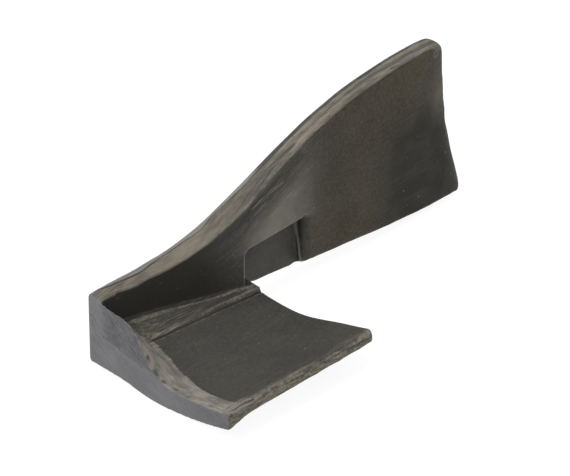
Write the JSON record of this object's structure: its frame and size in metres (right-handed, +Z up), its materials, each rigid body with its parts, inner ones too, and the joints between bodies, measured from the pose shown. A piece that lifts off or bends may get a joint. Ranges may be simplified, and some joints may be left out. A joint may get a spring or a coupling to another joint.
{
  "type": "door wedge",
  "caption": "Moulded rubber door wedge: an upright fin with a curved ridge and a weatherstrip notch, standing on a short dished foot plate with a raised end cheek.",
  "frame": {"origin": "centre of the underside of the whole moulding's box", "axes": "+X from the heel face along the fin to the tail, +Y out of the flat back face, +Z up"},
  "size_m": [0.1182, 0.045, 0.0444],
  "materials": {
    "moulded_rubber": "satin black moulded rubber, paler and scratched where the flash was ground off"
  },
  "bodies": {
    "root": {"rubber_moulding": "moulded_rubber"}
  },
  "joints": []
}
